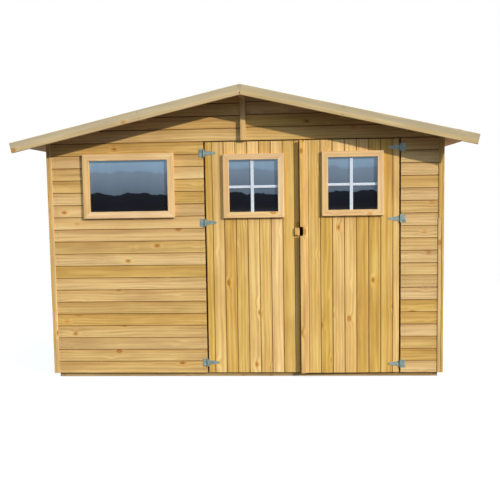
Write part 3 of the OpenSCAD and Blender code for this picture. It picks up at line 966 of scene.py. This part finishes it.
def white_room():
    """A white background, and a soft light that is brighter overhead than at the horizon."""
    world = bpy.data.worlds.new("white_room")
    bpy.context.scene.world = world
    world.use_nodes = True
    tree = world.node_tree
    tree.nodes.clear()
    way = add(tree, "SeparateXYZ", {0: add(tree, "TexCoord").outputs["Generated"]}).outputs["Z"]
    soft = add(tree, "Background", {"Color": SKY_TONE, "Strength": ramp(tree, way, *SKY_RISE, *SKY_STRENGTH)})
    seen = add(tree, "Background", {"Color": (1, 1, 1, 1), "Strength": 1.0})
    direct = add(tree, "LightPath").outputs["Is Camera Ray"]
    both = add(tree, "MixShader", {0: direct, 1: soft, 2: seen})
    add(tree, "OutputWorld", {"Surface": both})


def camera():
    """The camera, and colours shown as they are."""
    lens = bpy.data.cameras.new("camera")
    lens.lens = CAMERA_LENS
    lens.sensor_width = 36
    eye = bpy.data.objects.new("camera", lens)
    bpy.context.scene.collection.objects.link(eye)
    yaw = Matrix.Rotation(math.radians(CAMERA_YAW), 4, "Z")
    pitch = Matrix.Rotation(math.radians(90 - CAMERA_PITCH), 4, "X")
    roll = Matrix.Rotation(math.radians(CAMERA_ROLL), 4, "Z")
    eye.matrix_world = Matrix.Translation(CAMERA_AT) @ yaw @ pitch @ roll
    bpy.context.scene.camera = eye
    bpy.context.scene.view_settings.view_transform = "Standard"


# Planed, pressure-treated pine: honey brown and satin, with a painted shade under each board's lip
cladding_pine = pine("treated_planed_pine_cladding", "#E0BD79", "#D2AA64", "#A27B44", spread=0.08,
                     shade="#EEE5D6")
# The door boards are cleaner and more golden
door_pine = pine("treated_planed_pine_door", "#E9CA84", "#DCB161", "#AC7E3C", spread=0.14)
# Untreated pale pine for the casings
casing_pine = pine("planed_pale_pine_casing", "#EDCC98", "#E4BD84", "#BE9058", spread=0.05, dirt_and_shade=False)
# Golden planed battens
batten_pine = pine("planed_golden_pine_batten", "#E1BD7B", "#D2A861", "#A87E44", spread=0.06, dirt_and_shade=False)
# The strips at the meeting of the doors, and the keep, are more golden than the battens
strip_pine = pine("planed_golden_pine_strip", "#E8C27A", "#DAAE60", "#A87A3A", spread=0.03, dirt_and_shade=False)
# Bargeboards weathered to khaki
barge_pine = pine("weathered_pine_bargeboard", "#D6BC8A", "#C8AC78", "#9E8252", spread=0.03, grey=0.75,
                  dirt_and_shade=False)
# Roof boards: planed pine that is always in shade
roof_pine = pine("planed_pine_roof_boards", "#D6B27A", "#C59C62", "#9A723F")
# Floor boards: planed pine, close to the walls in colour
floor_pine = pine("planed_pine_floor_boards", "#D9B67E", "#C9A269", "#9E7643")
# Sawn framing and bearers, with the grain along X, Y or Z
framing = {
    axis: pine("sawn_pine_framing_" + way, "#DDB983", "#CFA66B", "#A47C48", run=axis)
    for axis, way in ((X, "level"), (Y, "deep"), (Z, "upright"))
}
bearers = {
    axis: pine("sawn_treated_pine_bearer_" + way, "#C0A26C", "#AE8E58", "#80643A", run=axis)
    for axis, way in ((X, "level"), (Y, "deep"))
}
felt = mineral_felt()
zinc = zinc_plated_steel()
# Drawn wire: bright screws in the hinges, and rusty nails in the boards
steel = wire_steel("drawn_wire_steel", "#6F6A62", "#9C9890", 0.8)
rusty_steel = wire_steel("rusted_drawn_wire_steel", "#6A4E30", "#8C6C44", 0.2)
white_paint = white_enamel()

front_cladding()
gable_cladding()
plain_walls()
battens("corner_battens_front_and_back", "end_corner_battens")
battens("corner_battens_sides", "side_corner_battens")
battens("gable_joint_battens", "king_battens")
mitred_casing("window_casing_boards", "window_casing", "shed")
mitred_casing("left_door_casing_boards", "left_door_casing", "left_door")
mitred_casing("right_door_casing_boards", "right_door_casing", "right_door", AJAR)
glazing_bars("left_door_bars", "left_door_glazing_bars", "left_door")
glazing_bars("right_door_bars", "right_door_glazing_bars", "right_door", AJAR)
leaf_boards("left_door_matched_boards", "left_door_boards", "left_door_glass", "left_door", LEFT_LEAF_BOARDS)
leaf_boards("right_door_matched_boards", "right_door_boards", "right_door_glass", "right_door",
            RIGHT_LEAF_BOARDS, AJAR)
cover_strips()
lock_keep()
floor_boards()
roof_boards("roof_boards_left", "roof_deck_left", LEFT_SLOPE)
roof_boards("roof_boards_right", "roof_deck_right", RIGHT_SLOPE)
for end in ("front", "back"):
    bargeboard(end + "_bargeboard_left_planed", end + "_bargeboard_left", LEFT_SLOPE)
    bargeboard(end + "_bargeboard_right_planed", end + "_bargeboard_right", RIGHT_SLOPE)
roof_felt("felt_strips_left", "roof_felt_left", LEFT_SLOPE)
roof_felt("felt_strips_right", "roof_felt_right", RIGHT_SLOPE)
ridge_cap()
clout_nails()
bargeboard_nails()
hinge_screws()
cladding_nails()

for name in ("wall_studs", "door_posts", "left_door_stiles", "right_door_stiles"):
    refinish(name, framing[Z])
for name in ("end_wall_rails", "gable_plates", "gable_rafters", "left_door_rails", "right_door_rails"):
    refinish(name, framing[X])
for name in ("side_wall_rails", "ridge_beam", "purlins"):
    refinish(name, framing[Y])
refinish("bearers", bearers[Y])
refinish("end_bearers", bearers[X])
for name in ("hinge_plates", "left_door_straps", "right_door_straps"):
    refinish(name, zinc)
glass = glass_with_painted_reflection()
for name in ("window_glass", "left_door_glass", "right_door_glass"):
    refinish(name, glass)

pale_floor()
sun("key", azimuth=50, elevation=23, size=1.2, energy=3.70, tone=(1.0, 0.945, 0.835))
sun("fill", azimuth=215, elevation=38, size=25, energy=1.5, tone=(0.95, 0.97, 1.0))
white_room()
camera()
